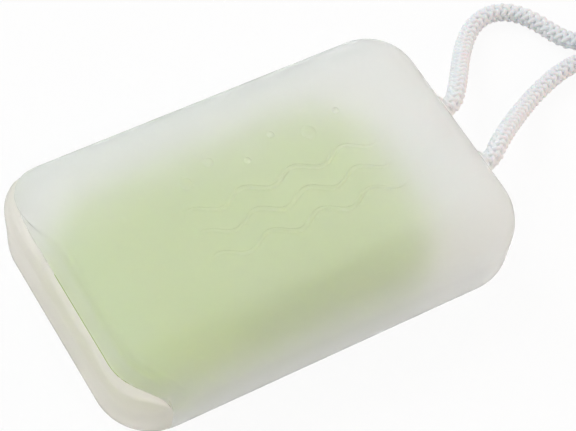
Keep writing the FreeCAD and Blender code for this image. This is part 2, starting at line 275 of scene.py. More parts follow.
def frosted_plastic(name, colour):
    """Milky see-through plastic with a satin skin."""
    material, tree, surface = new_material(name)
    place = add_node(tree, "ShaderNodeTexCoord").outputs["Object"]
    clouds = noise(tree, place, scale=90.0, detail=3.0)
    grain = noise(tree, place, scale=2600.0, detail=2.0)
    shaded = [CLOUD_SHADE * part for part in colour]
    set_inputs(tree, surface, {
        "Base Color": blend_colours(tree, clouds, (*shaded, 1), (*colour, 1)),
        "Roughness": between(tree, clouds, *SATIN_ROUGHNESS),
        "Normal": bumps(tree, grain, strength=0.12, depth=0.05 * MM),
        "Transmission Weight": CLEAR_SHARE,
        "IOR": PLASTIC_IOR,
    })
    return material


sleeve_plastic = frosted_plastic("frosted_sleeve", (0.96, 0.97, 0.965))
tray_plastic = frosted_plastic("frosted_tray", (0.99, 0.97, 0.935))
print("plastics", sleeve_plastic.name, tray_plastic.name)

# %% [markdown]
# ## Soap finish
#
# Pressed soap is waxy: light sinks in a little before it comes back, and its green is slightly cloudy.
# A plain colour would look like paint, so some of the light goes under the surface. Along its front
# side, towards the closed end, a deeper green is painted on as shade, where that side turns from the light.

# %% Soap finish
SOAP_GREENS = ((0.33, 0.45, 0.04, 1), (0.41, 0.53, 0.07, 1))
# painted shade: a deeper green on the soap's front side, faded in over the spans across and along it
PAINTED_SHADE_GREEN = (0.25, 0.36, 0.015, 1)
SHADE_FRONT_SPAN = (-13.0 * MM, -25.0 * MM)
SHADE_LENGTH_SPAN = (-36.0 * MM, -12.0 * MM)
SOAP_ROUGHNESS = (0.42, 0.62)


def fade(tree, value, start, full):
    """Goes softly from 0 to 1 while a value goes from start to full."""
    ends = {"Value": value, "From Min": start, "From Max": full}
    return add_node(tree, "ShaderNodeMapRange", ends, interpolation_type="SMOOTHSTEP").outputs[0]


def soap_finish():
    """Waxy green soap, with painted shade on its front side."""
    material, tree, surface = new_material("green_soap")
    place = add_node(tree, "ShaderNodeTexCoord").outputs["Object"]
    clouds = noise(tree, place, scale=60.0, detail=4.0)
    smear = noise(tree, place, scale=400.0, detail=5.0)
    axes = add_node(tree, "ShaderNodeSeparateXYZ", {0: place}).outputs
    along, front = fade(tree, axes["X"], *SHADE_LENGTH_SPAN), fade(tree, axes["Y"], *SHADE_FRONT_SPAN)
    own_green = blend_colours(tree, clouds, *SOAP_GREENS)
    set_inputs(tree, surface, {
        # the front side, towards the closed end, gets the deeper green as painted shade
        "Base Color": blend_colours(tree, calculate(tree, "MULTIPLY", along, front), own_green, PAINTED_SHADE_GREEN),
        "Roughness": between(tree, smear, *SOAP_ROUGHNESS),
        "Normal": bumps(tree, smear, strength=0.25, depth=0.15 * MM),
        "Subsurface Weight": 0.35,
        "Subsurface Radius": (0.8, 1.0, 0.4),
        "Subsurface Scale": 1.5 * MM,
    })
    return material


soap_green = soap_finish()
print("finish", soap_green.name)

# %% [markdown]
# ## Cord finish
#
# The cord is spun from white fibres. Each of its yarns is twisted, so the fibre pattern winds round the
# yarn. A pattern in the object's own coordinates would cut across the yarns. This one is painted in each
# yarn's coordinates instead, which the cord's tree stores on its surface.

# %% Cord finish
YARN_WHITES = ((0.80, 0.81, 0.83, 1), (0.91, 0.91, 0.92, 1))
FIBRE_TWIST = 3.0 / MM
FIBRE_STRETCH = 0.25 / MM


def cord_finish():
    """White twisted yarn, painted along and round each yarn."""
    material, tree, surface = new_material("white_yarn")
    ring = add_node(tree, "ShaderNodeAttribute", attribute_name="ring").outputs["Vector"]
    along = add_node(tree, "ShaderNodeAttribute", attribute_name="along").outputs["Fac"]
    twist = {"Vector": ring, "Angle": calculate(tree, "MULTIPLY", along, FIBRE_TWIST)}
    twisted = add_node(tree, "ShaderNodeVectorRotate", twist, rotation_type="Z_AXIS").outputs[0]
    stretched = vector(tree, Z=calculate(tree, "MULTIPLY", along, FIBRE_STRETCH))
    place = vector_math(tree, "ADD", {0: twisted, 1: stretched})
    fibres = noise(tree, place, scale=5.0, detail=3.0)
    set_inputs(tree, surface, {
        "Base Color": blend_colours(tree, fibres, *YARN_WHITES),
        "Normal": bumps(tree, fibres, strength=0.5, depth=0.15 * MM),
        "Roughness": 0.8,
        "Sheen Weight": 0.25,
        "Subsurface Weight": 0.2,
        "Subsurface Scale": 0.5 * MM,
    })
    return material


cord_white = cord_finish()
print("finish", cord_white.name)

# %% [markdown]
# ## The braided cord
#
# The cord is braided from eight yarns: four wind one way round, four the other, and they pass over and
# under each other. Modelling one yarn and copying it by hand would never follow the cord's bends, so a
# geometry tree does it. It takes the cord's line, copies it once for each yarn, winds every copy round
# the line and gives it a round section. Where yarns of the two directions cross, a cosine lifts one and
# lowers the other.

# %% Sizes and sections of the braid
BRAID = {
    "Yarn radius": 0.64 * MM,
    "Winding radius": 1.58 * MM,
    "Lift": 0.26 * MM,
    "Pitch": 8.6 * MM,
    "Core radius": 1.6 * MM,
    "Step": 0.35 * MM,
    "Melted end": 0.0,
}
YARNS_EACH_WAY = 4
YARN_SIDES = 8
TAPER_TIP = 0.02 * MM


def open_tree(name, taken, sizes, made):
    """A geometry tree that takes a mesh, named sizes and a finish. Returns it and what it is given."""
    tree = bpy.data.node_groups.new(name, "GeometryNodeTree")
    tree.interface.new_socket(taken, in_out="INPUT", socket_type="NodeSocketGeometry")
    for size, value in sizes.items():
        kind = "NodeSocketInt" if isinstance(value, int) else "NodeSocketFloat"
        tree.interface.new_socket(size, in_out="INPUT", socket_type=kind)
    tree.interface.new_socket("Finish", in_out="INPUT", socket_type="NodeSocketMaterial")
    tree.interface.new_socket(made, in_out="OUTPUT", socket_type="NodeSocketGeometry")
    return tree, add_node(tree, "NodeGroupInput").outputs


def close_tree(tree, geometry, finish):
    """Ends a tree: copies become real faces, and all faces get the finish."""
    real = add_node(tree, "GeometryNodeRealizeInstances", {"Geometry": geometry}).outputs[0]
    done = add_node(tree, "GeometryNodeSetMaterial", {"Geometry": real, "Material": finish}).outputs[0]
    add_node(tree, "NodeGroupOutput", {0: done})


def stored(tree, geometry, name, value, kind):
    """Geometry with a value stored on its points under a name."""
    inputs = {"Geometry": geometry, "Name": name, "Value": value}
    return add_node(tree, "GeometryNodeStoreNamedAttribute", inputs, data_type=kind).outputs[0]


def round_section(tree, radius, sides):
    """A circle that remembers its own unit ring, to be swept along a line."""
    inputs = {"Resolution": sides, "Radius": radius}
    circle = add_node(tree, "GeometryNodeCurvePrimitiveCircle", inputs).outputs[0]
    position = add_node(tree, "GeometryNodeInputPosition").outputs[0]
    unit = vector_math(tree, "NORMALIZE", {0: position})
    return stored(tree, circle, "ring", unit, "FLOAT_VECTOR")


def sweep(tree, line, section, scale=1.0):
    """A section swept along a line, with closed ends."""
    inputs = {"Curve": line, "Profile Curve": section, "Scale": scale, "Fill Caps": True}
    return add_node(tree, "GeometryNodeCurveToMesh", inputs).outputs[0]


def end_taper(tree, melted):
    """1 along a line, and less and less over the melted length at its end."""
    total = add_node(tree, "GeometryNodeSplineLength").outputs["Length"]
    so_far = add_node(tree, "GeometryNodeSplineParameter").outputs["Length"]
    left = calculate(tree, "ADD", calculate(tree, "SUBTRACT", total, so_far), TAPER_TIP)
    share = calculate(tree, "DIVIDE", left, calculate(tree, "ADD", melted, TAPER_TIP))
    return calculate(tree, "SQRT", calculate(tree, "MINIMUM", share, 1.0))


print("braid of", 2 * YARNS_EACH_WAY, "yarns")


# %% The tree that braids a cord
def wound_line(tree, line, sizes, taper, direction):
    """Copies of a line, wound round it one way, that rise and sink where they meet the other way's."""
    amount = {"Geometry": line, "Amount": YARNS_EACH_WAY}
    copies = add_node(tree, "GeometryNodeDuplicateElements", amount, domain="SPLINE").outputs
    length = add_node(tree, "GeometryNodeSplineParameter").outputs["Length"]
    turns = calculate(tree, "DIVIDE", length, sizes["Pitch"])
    wound = calculate(tree, "MULTIPLY", turns, direction * 2 * math.pi)
    start = calculate(tree, "MULTIPLY", copies["Duplicate Index"], 2 * math.pi / YARNS_EACH_WAY)
    angle = calculate(tree, "ADD", wound, start)
    wave = calculate(tree, "COSINE", calculate(tree, "MULTIPLY", turns, 2 * math.pi * YARNS_EACH_WAY))
    lift = calculate(tree, "MULTIPLY", calculate(tree, "MULTIPLY", wave, sizes["Lift"]), direction)
    radius = calculate(tree, "MULTIPLY", calculate(tree, "ADD", sizes["Winding radius"], lift), taper)
    normal = add_node(tree, "GeometryNodeInputNormal").outputs[0]
    tangent = add_node(tree, "GeometryNodeInputTangent").outputs[0]
    side = vector_math(tree, "CROSS_PRODUCT", {0: tangent, 1: normal})

    def part_along(axis, function):
        length = calculate(tree, "MULTIPLY", radius, calculate(tree, function, angle))
        return vector_math(tree, "SCALE", {0: axis, "Scale": length})

    offset = vector_math(tree, "ADD", {0: part_along(normal, "COSINE"), 1: part_along(side, "SINE")})
    return add_node(tree, "GeometryNodeSetPosition", {"Geometry": copies[0], "Offset": offset}).outputs[0]


def braid_tree():
    """The tree that turns a line into a braided cord."""
    tree, given = open_tree("braided_cord", "Line", BRAID, "Cord")
    line = add_node(tree, "GeometryNodeMeshToCurve", {"Mesh": given["Line"]}).outputs[0]
    steps = {"Curve": line, "Length": given["Step"]}
    even = add_node(tree, "GeometryNodeResampleCurve", steps, mode="LENGTH").outputs[0]
    length = add_node(tree, "GeometryNodeSplineParameter").outputs["Length"]
    measured = stored(tree, even, "along", length, "FLOAT")
    taper = end_taper(tree, given["Melted end"])
    yarn = round_section(tree, given["Yarn radius"], YARN_SIDES)
    joined = add_node(tree, "GeometryNodeJoinGeometry")
    for direction in (1, -1):
        wound = wound_line(tree, measured, given, taper, direction)
        tree.links.new(sweep(tree, wound, yarn), joined.inputs[0])
    core = round_section(tree, given["Core radius"], 2 * YARN_SIDES)
    tree.links.new(sweep(tree, measured, core, taper), joined.inputs[0])
    smooth = add_node(tree, "GeometryNodeSetShadeSmooth", {"Geometry": joined.outputs[0]})
    close_tree(tree, smooth.outputs[0], given["Finish"])
    return tree


braid = braid_tree()
print("braid tree", len(braid.nodes), "nodes")

# %% [markdown]
# ## The cord's route
#
# A cord lies in one smooth line. Its route is a handful of chosen points: straight out of the collar,
# down to the table and along it in a loose loop to the knot. A NURBS spline takes them as its control
# points, and a mesh made from that spline without a bevel gives the points that the braid follows.

# %% The cord's route
CORD_DIAMETER = 5.0
CASE_END = 55.0
SLEEVE_WALL = 1.8
WALL_INSIDE = CASE_END - SLEEVE_WALL
HOLE_HEIGHT = 15.0
HOLE_SIDE = 9.0
LYING = CORD_DIAMETER / 2
SPLINE_STEPS = 24
# x counts from the end of the case, and the last number is the height above lying on the table
STRAND_A_ROUTE = [
    (4.0, 9.0, 12.5),
    (8.7, 13.5, 11.4),
    (14.0, 19.6, 8.2),
    (19.4, 25.8, 4.2),
    (24.8, 31.3, 1.0),
    (30.2, 35.7, 0.0),
    (36.6, 37.3, 0.0),
    (42.4, 35.0, 0.0),
    (46.4, 29.6, 0.0),
    (48.6, 23.0, 0.4),
    (51.4, 18.0, 1.6),
    (56.2, 16.0, 3.4),
]
STRAND_B_ROUTE = [
    (4.1, -9.0, 12.5),
    (9.4, -4.6, 11.4),
    (15.8, -0.3, 8.4),
    (22.6, 4.1, 4.4),
    (29.6, 8.1, 1.3),
    (36.8, 11.2, 0.2),
    (43.2, 12.9, 0.5),
    (48.6, 12.9, 1.5),
    (53.2, 10.6, 3.2),
]


def on_table(route):
    """Places of a route in metres."""
    return [Vector((CASE_END + x, y, LYING + lift)) * MM for x, y, lift in route]


def hole_start(side):
    """Where the cord passes the inner face of the end wall, in metres."""
    return Vector((WALL_INSIDE, side * HOLE_SIDE, HOLE_HEIGHT)) * MM


print("routes of", len(STRAND_A_ROUTE), "and", len(STRAND_B_ROUTE), "points past the wall")


# %% Smooth lines
def smooth_line(points):
    """Points along the NURBS spline that has the given points as its control points."""
    curve = bpy.data.curves.new("route", "CURVE")
    curve.dimensions = "3D"
    curve.resolution_u = SPLINE_STEPS
    spline = curve.splines.new("NURBS")
    spline.points.add(len(points) - 1)
    for control, place in zip(spline.points, points):
        control.co = (*place, 1)
    spline.order_u = 3
    spline.use_endpoint_u = True
    holder = place_object("route", curve)
    bpy.context.view_layer.update()
    mesh = bpy.data.meshes.new_from_object(holder)
    line = [vertex.co.copy() for vertex in mesh.vertices]
    bpy.data.objects.remove(holder)
    bpy.data.curves.remove(curve)
    bpy.data.meshes.remove(mesh)
    return line


def line_length(line):
    """The length of a line of points."""
    return sum((b - a).length for a, b in zip(line, line[1:]))


strand_a_line = smooth_line([hole_start(1), *on_table(STRAND_A_ROUTE)])
strand_b_line = smooth_line([hole_start(-1), *on_table(STRAND_B_ROUTE)])
print("strand lengths", round(line_length(strand_a_line), 4), round(line_length(strand_b_line), 4))

# %% [markdown]
# ## Braiding the strands
#
# The line becomes a mesh of edges, the tree is put on it as a modifier, and the result is taken as a
# plain mesh. A modifier's inputs go by the identifiers of the tree's sockets.

# %% Braiding the strands
def plain_mesh(name, holder):
    """The evaluated mesh of an object, as a plain object of that name. The holder goes."""
    bpy.context.view_layer.update()
    ready = holder.evaluated_get(bpy.context.evaluated_depsgraph_get())
    mesh = bpy.data.meshes.new_from_object(ready)
    bpy.data.objects.remove(holder)
    mesh.name = name
    return place_object(name, mesh)


def run_tree(name, tree, mesh, values):
    """What a geometry tree makes of a mesh, as a plain object."""
    holder = place_object(name + "_holder", mesh)
    modifier = holder.modifiers.new("tree", "NODES")
    modifier.node_group = tree
    for item in tree.interface.items_tree:
        if item.in_out == "INPUT" and item.name in values:
            modifier[item.identifier] = values[item.name]
    return plain_mesh(name, holder)


def edge_mesh(lines):
    """A mesh of edges along lines of points."""
    mesh = bpy.data.meshes.new("line")
    points = [point for line in lines for point in line]
    edges = []
    first = 0
    for line in lines:
        edges += [(first + k, first + k + 1) for k in range(len(line) - 1)]
        first += len(line)
    mesh.from_pydata(points, edges, [])
    return mesh


def braided(name, *lines, melted=0.0):
    """A braided cord along one or more lines. Its ends taper over the melted length."""
    sizes = {**BRAID, "Melted end": melted, "Finish": cord_white}
    return run_tree(name, braid, edge_mesh(lines), sizes)


strand_a = braided("cord_strand_a_braid", strand_a_line)
strand_b = braided("cord_strand_b_braid", strand_b_line)
for strand in (strand_a, strand_b):
    print(strand.name, len(strand.data.polygons), "faces")

# %% [markdown]
# ## The turn inside the case
#
# The cord is one length. Inside the closed end it turns back from one hole to the other, so that a pull
# on the loop holds the case. The turn lies flat behind the wall: a short straight run in from each hole
# and a half circle between them, which a formula gives.

# %% The turn inside the case
BIGHT_RUN = 2.2
BIGHT_STEPS = 40


def bight_line():
    """The cord's line inside the case, from one hole round to the other."""
    turns = [math.pi * step / BIGHT_STEPS for step in range(BIGHT_STEPS + 1)]
    start = WALL_INSIDE - BIGHT_RUN
    arc = [
        Vector((start - HOLE_SIDE * math.sin(turn), HOLE_SIDE * math.cos(turn), HOLE_HEIGHT)) * MM
        for turn in turns
    ]
    return [hole_start(1), *arc, hole_start(-1)]


bight = braided("cord_bight_braid", bight_line())
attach(bight, "case")
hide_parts("cord_bight")
print("bight", len(bight.data.polygons), "faces")

# %% [markdown]
# ## The knot
#
# The two ends of the cord are tied past the edge of the picture. One end runs straight on, and the other
# is wound twice round it, which makes a lump that can't slip through a hole. Both ends stick out a
# little, and they are melted so that the yarns stay together. Braiding the two lines with the same tree
# gives a knot that is really made of cord.

# %% The knot
KNOT_Y = 12.6
KNOT_Z = 6.2
WRAP_Y = 4.5
WRAP_Z = 3.7
WRAP_START = 110.6
WRAP_PITCH = 4.4
WRAPS = 2
WRAP_POINTS = 12
MELTED_END = 2.0 * MM
TAIL_A_ROUTE = [(66.4, 17.2, 1.4), (71.2, 18.0, 0.2)]
CORE_ROUTE = [
    STRAND_B_ROUTE[-1],
    (56.0, 12.0, 3.6),
    (60.0, 12.6, 3.7),
    (64.0, 11.5, 3.1),
    (68.0, 8.6, 1.1),
    (71.4, 7.2, 0.2),
]


def wrapping_line():
    """The end that is wound round the other one, from its strand to its tail."""
    points = [on_table(STRAND_A_ROUTE[-1:])[0]]
    for step in range(1, WRAPS * WRAP_POINTS):
        turn = 2 * math.pi * step / WRAP_POINTS
        points.append(
            Vector((
                WRAP_START + WRAP_PITCH * step / WRAP_POINTS,
                KNOT_Y + WRAP_Y * math.cos(turn),
                KNOT_Z + WRAP_Z * math.sin(turn),
            )) * MM
        )
    return smooth_line([*points, *on_table(TAIL_A_ROUTE)])


knot = braided("cord_knot_braid", wrapping_line(), smooth_line(on_table(CORE_ROUTE)), melted=MELTED_END)
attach(knot, "case")
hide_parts("cord_knot")
print("knot", len(knot.data.polygons), "faces")

# %% [markdown]
# ## The free strands
#
# The two free strands are cords in their own right: each leaves the case at its hole and ends in the
# knot. Each goes with the case, and its length along its line is printed.

# %% The free strands
for strand, line, node in (
    (strand_a, strand_a_line, "cord_strand_a"),
    (strand_b, strand_b_line, "cord_strand_b"),
):
    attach(strand, "case")
    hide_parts(node)
    print(strand.name, "is", round(line_length(line) / MM, 1), "mm long")

# %% [markdown]
# ## The case's form
#
# Every wall of the case follows one form: a block with round corners, a large rounding along its top
# edge and a smaller one along the bottom. Rounding each wall by itself would leave uneven gaps. Instead
# the form is written as a distance, negative inside and positive outside. A wall's inner face is where
# that distance is minus the wall's thickness, so all faces run parallel.

# %% The case's form
Form = namedtuple("Form", "length width height corner crown base")
tray_low = np.array(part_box("soap_tray")[0]) / MM
sleeve_high = np.array(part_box("sleeve")[1]) / MM
CASE = Form(
    length=-2 * tray_low[0],
    width=2 * sleeve_high[1],
    height=sleeve_high[2],
    corner=14.0,
    crown=13.5,
    base=9.0,
)


def rounded(first, second, radius):
    """Distance from two faces that meet in a rounding. The faces lie at the radius."""
    outside = np.hypot(np.maximum(first, 0), np.maximum(second, 0))
    return outside + np.minimum(np.maximum(first, second), 0) - radius


def form_distance(form, points):
    """How far points lie outside a form that stands at the origin. It is negative inside."""
    x, y, z = np.moveaxis(points, -1, 0)
    plan = rounded(
        np.abs(x) - form.length / 2 + form.corner,
        np.abs(y) - form.width / 2 + form.corner,
        form.corner,
    )
    crown = rounded(plan + form.crown, z - form.height + form.crown, form.crown)
    base = rounded(plan + form.base, form.base - z, form.base)
    return np.maximum(crown, base)


print("case", [round(float(size), 2) for size in CASE])

# %% [markdown]
# ## Lines over the form
#
# A shell needs a clean net of faces, so that light runs over it without dents. The net's lines start at
# the middle of one end, spread over the form like the meridians of a globe and meet again at the other
# end. Each point is found by halving along a ray until it lies on the wanted face. Points are later
# taken along these lines by length, and an edge is where a line first comes near enough to it.

# %% Lines over the form
QUARTER_STEPS = 72
RUN_STEPS = 140
SECTION_STEPS = 40
HALVINGS = 30


def found_along(rays, form, inset, shape):
    """Points on rays from inside a form, where its distance is minus the inset."""
    near, far = np.zeros(shape), np.full(shape, form.length)
    for _ in range(HALVINGS):
        middle = (near + far) / 2
        inside = form_distance(form, rays(middle)) < -inset
        near, far = np.where(inside, middle, near), np.where(inside, far, middle)
    return rays(far)


def lengths_so_far(points):
    """The lengths that lines of points have covered at each row of points."""
    steps = np.linalg.norm(np.diff(points, axis=0), axis=-1)
    return np.concatenate([np.zeros_like(steps[:1]), np.cumsum(steps, axis=0)])


def even_angles(form, count, axis_height):
    """Angles round the form's length that are evenly spread on its middle section."""
    dense = np.linspace(-math.pi / 2, 3 * math.pi / 2, SECTION_STEPS * count + 1)

    def rays(distance):
        height = axis_height + distance * np.sin(dense)
        return np.stack([np.zeros_like(dense), distance * np.cos(dense), height], axis=-1)

    covered = lengths_so_far(found_along(rays, form, 0.0, dense.shape))
    return np.interp(np.linspace(0, covered[-1], count, endpoint=False), covered, dense)


def form_lines(form, angles, inset, axis_height, end=1):
    """Lines from the middle of one end to the other, one for each angle, and their lengths so far."""
    spine_end = form.length / 2 - form.corner
    quarter = np.linspace(0, math.pi / 2, QUARTER_STEPS)[:, None]
    run = np.linspace(spine_end, -spine_end, RUN_STEPS)[1:-1, None]
    spine = np.concatenate([np.full_like(quarter, spine_end), run, np.full_like(quarter, -spine_end)])
    slant = np.concatenate([quarter, np.full_like(run, math.pi / 2), quarter + math.pi / 2])

    def rays(distance):
        out = distance * np.sin(slant)
        x = end * (spine + distance * np.cos(slant))
        return np.stack([x, out * np.cos(angles), axis_height + out * np.sin(angles)], axis=-1)

    points = found_along(rays, form, inset, (len(spine), len(angles)))
    return points, lengths_so_far(points)


print("lines of", 2 * QUARTER_STEPS + RUN_STEPS - 2, "points")


# %% Points along the lines
def walk(lines, lengths):
    """Points at given lengths along each line, one row of points for each row of lengths."""
    points, covered = lines
    columns = [
        [np.interp(lengths[:, k], covered[:, k], points[:, k, axis]) for axis in range(3)]
        for k in range(points.shape[1])
    ]
    return np.moveaxis(np.array(columns), (0, 1, 2), (1, 2, 0))


def reach(lines, edge, value=0.0):
    """The length along each line at which its distance from an edge first falls to a value."""
    points, covered = lines
    distance = edge(points) - value
    after = np.maximum(np.argmax(distance <= 0, axis=0), 1)
    columns = np.arange(points.shape[1])
    left, right = distance[after - 1, columns], distance[after, columns]
    share = left / (left - right)
    return (1 - share) * covered[after - 1, columns] + share * covered[after, columns]


def ring(lines, edge, value=0.0):
    """The points of all lines at a distance from an edge."""
    return walk(lines, reach(lines, edge, value)[None])[0]


print("lines are read by", walk.__name__, reach.__name__, ring.__name__)

# %% [markdown]
# ## Rims
#
# A moulded rim is never sharp. Where a wall ends, rows of points are led round its edge from the outer
# to the inner face: at each step of the rounding the point lies a little deeper in the wall and a little
# nearer to the edge.

# %% Rims
ROUND_STEPS = 6


def edge_rows(outer, inner, edge, wall, outer_radius, inner_radius):
    """Rows round the edge of a wall, from its outer to its inner face.

    A radius is one number or one for each line, and 0 is a sharp edge.
    """
    def row(depth, rise):
        share = np.asarray(depth / wall)[..., None]
        return (1 - share) * ring(outer, edge, rise) + share * ring(inner, edge, rise)

    turns = np.linspace(0, math.pi / 2, ROUND_STEPS)
    rows = [
        row(outer_radius * (1 - math.cos(turn)), outer_radius * (1 - math.sin(turn)))
        for turn in (turns if np.any(outer_radius) else turns[:1])
    ]
    rows += [
        row(wall - inner_radius * (1 - math.cos(turn)), inner_radius * (1 - math.sin(turn)))
        for turn in (turns[::-1] if np.any(inner_radius) else turns[:1])
    ]
    return np.array(rows)


print("rims have", ROUND_STEPS, "steps")

# %% [markdown]
# ## From rows to meshes
#
# Four neighbours in two rows make a face. At a pole all points of a row coincide, so points are merged
# before the faces are turned outwards. Separate shapes become one moulding with the exact boolean, which
# keeps curved walls closed where a simple overlap would leave faces inside.

# %% Meshes
MERGE = 0.0005 * MM
SHARP_ANGLE = math.radians(32)


def finish_mesh(mesh, material):
    """Smooth faces, sharp only where they really meet at an angle, in one material."""
    mesh.materials.clear()
    mesh.materials.append(material)
    mesh.shade_smooth()
    mesh.set_sharp_from_angle(angle=SHARP_ANGLE)


def shell(name, rows, closed_at_last=False):
    """A closed object from rows of points. Points that coincide, as at a pole, become one."""
    count, columns = rows.shape[:2]
    index = np.arange(count * columns).reshape(count, columns)
    beside = np.roll(index, -1, axis=1)
    faces = np.stack([index[:-1], beside[:-1], beside[1:], index[1:]], axis=-1).reshape(-1, 4).tolist()
    if closed_at_last:
        faces.append(index[-1].tolist())
    mesh = bpy.data.meshes.new(name)
    mesh.from_pydata((rows.reshape(-1, 3) * MM).tolist(), [], faces)
    net = bmesh.new()
    net.from_mesh(mesh)
    bmesh.ops.remove_doubles(net, verts=net.verts, dist=MERGE)
    bmesh.ops.recalc_face_normals(net, faces=net.faces)
    net.to_mesh(mesh)
    net.free()
    return place_object(name, mesh)


def combined(name, base, *changes):
    """A base joined with other closed objects or cut by them, as a plain object. The others go."""
    for operation, other in changes:
        modifier = base.modifiers.new(operation, "BOOLEAN")
        modifier.operation = operation
        modifier.solver = "EXACT"
        modifier.object = other
    piece = plain_mesh(name, base)
    for _, other in changes:
        bpy.data.objects.remove(other)
    return piece


print("points nearer than", MERGE / MM, "mm become one")

# %% [markdown]
# ## The edges of the mouth
#
# The tray's cap has a rim that runs level across the end and bends down the sides. The sleeve's visor
# ends a little above it and bends the same way, until the two meet on the sides. Towards the back the
# visor comes down and closes the crevice. Behind the rim, the sleeve's lip keeps water out. Each of
# these edges is again a distance, positive on the wall's own side.

# %% The edges of the mouth
Bend = namedtuple("Bend", "top edge radius")
CLEARANCE = 0.3
STOP_GAP = 0.1
CAP_DEPTH = 12.0
REBATE = 3.4
LIP_TUCK = 0.8
OPEN_END = -CASE.length / 2
CAP_EDGE = OPEN_END + CAP_DEPTH
RIM = Bend(top=21.6, edge=CAP_EDGE, radius=8.2)
LIP = Bend(*(size - LIP_TUCK for size in RIM))
VISOR = Bend(top=RIM.top + REBATE, edge=CAP_EDGE + STOP_GAP, radius=7.1)
LIP_FOOT = LIP.top - RIM.radius
BACK_DROP = 2.2
DROP_START = 6.0
DROP_LENGTH = 18.0


def smooth_step(share):
    """Goes from 0 to 1 with a level start and end."""
    share = np.clip(share, 0, 1)
    return share * share * (3 - 2 * share)


def back_share(points):
    """0 in front and 1 at the back, where the visor comes down to the rim."""
    return smooth_step((points[..., 1] - DROP_START) / DROP_LENGTH)


def beyond(bend, points):
    """How far points lie outside an edge that runs level from the open end, bends and drops down."""
    x, _, z = np.moveaxis(points, -1, 0)
    return rounded(x - bend.edge + bend.radius, z - bend.top + bend.radius, bend.radius)


def cap_edge(points):
    """Distance from the edge of the cap."""
    return -beyond(RIM, points)


def lip_edge(points):
    """Distance from the edge of the lip."""
    return np.minimum(beyond(LIP, points), points[..., 2] - LIP_FOOT)


def mouth_edge(points):
    """Distance from the edge of the sleeve's mouth."""
    lowered = points.copy()
    lowered[..., 2] += BACK_DROP * back_share(points)
    return beyond(VISOR, lowered)


for name, bend in (("rim", RIM), ("lip", LIP), ("visor", VISOR)):
    print(name, "from height", round(bend.top, 2), "down at", round(bend.edge, 2))

# %% [markdown]
# ## Fuller corners
#
# At the open end the case is a little squarer than its plain form: above the base its two corners bulge
# out. Only the outer skin does, so the walls are thicker there. The bulge is greatest halfway round a
# corner and fades towards its sides, its top and its base.

# %% Fuller corners
CORNER_BULGE = 1.3
BULGE_FOOT = 8.0
BULGE_RISE = 11.0
# shares of the corner's radius, counted from its middle
BULGE_START_SHARE = 0.4
BULGE_FULL_SHARE = 0.9
MIDDLE_SHARE = 0.01


def fuller(lines):
    """Lines over the form with the bulge of the open end's corners added."""
    points, covered = lines
    x, y, z = np.moveaxis(points, -1, 0)
    along = np.maximum(OPEN_END + CASE.corner - x, 0)
    across = np.maximum(np.abs(y) - CASE.width / 2 + CASE.corner, 0)
    out = np.maximum(np.hypot(along, across), MIDDLE_SHARE * CASE.corner)
    halfway = 2 * along * across / out**2
    height = smooth_step((z - BULGE_FOOT) / BULGE_RISE)
    inner = out / CASE.corner - BULGE_START_SHARE
    top = smooth_step(inner / (BULGE_FULL_SHARE - BULGE_START_SHARE))
    push = CORNER_BULGE * halfway**2 * height * top / out
    bulge = np.stack([-along * push, np.sign(y) * across * push, np.zeros_like(push)], axis=-1)
    return points + bulge, covered


print("corners bulge by", CORNER_BULGE)

# %% [markdown]
# ## The sleeve
#
# The sleeve is one moulding: the outer shell, closed at the cord's end, with a lip inside its mouth. Its
# net starts at the middle of the closed end, runs over the outside to the visor's rounded edge, round
# the lip where there is one, and back along the inside. Behind the lip the wall thins in a long ramp, so
# that no step shows through it. The lip is only on the upper part; below, the same rows of points simply
# run on along the inside.

# %% The visor's edge
SEAM_ROUNDING = 0.1
SEAM_RISE = 7.0
VISOR_START = 3.6
VISOR_START_LOSS = 2.4
VISOR_TOE = 1.0
VISOR_STEPS = 14


def growth(lines, edge):
    """For each line 0 where it meets the upright seam, growing to 1 on the edge above."""
    foot = RIM.top - RIM.radius
    return smooth_step((ring(lines, edge)[:, 2] - foot) / SEAM_RISE)


def visor_rows(outer, inner, grown, soft_start):
    """Rows from the outer face down to the lip: a soft wave at the visor, and a plain edge at the seam."""
    rows = []
    for share in np.linspace(0, 1, VISOR_STEPS):
        turn = share * math.pi / 2
        plain_depth = SEAM_ROUNDING * (1 - math.cos(turn)) if share < 1 else SLEEVE_WALL
        plain_rise = SEAM_ROUNDING * (1 - math.sin(turn))
        soft_rise = soft_start - share * (soft_start + VISOR_TOE)
        depth = (1 - grown) * plain_depth + grown * SLEEVE_WALL * smooth_step(share)
        rise = (1 - grown) * plain_rise + grown * soft_rise
        inward = (depth / SLEEVE_WALL)[:, None]
        near, far = (ring(lines, mouth_edge, rise) for lines in (outer, inner))
        rows.append((1 - inward) * near + inward * far)
    return np.array(rows)


soft_behind = round(VISOR_START - VISOR_START_LOSS, 2)
print("visor softens over", VISOR_START, "mm in front and", soft_behind, "mm at the back")

# %% The sleeve's shell
LIP_WALL = 1.5
LIP_LAP = 2.5
LIP_ROUNDING = 0.4
LIP_LEAST = 0.6
LIP_ROWS = 10
RAMP_LENGTH = 5.0
RAMP_STEPS = 14
SLEEVE_AXIS = HOLE_HEIGHT
SLEEVE_COLUMNS = 192
OUTER_ROWS = 150
INNER_ROWS = 110


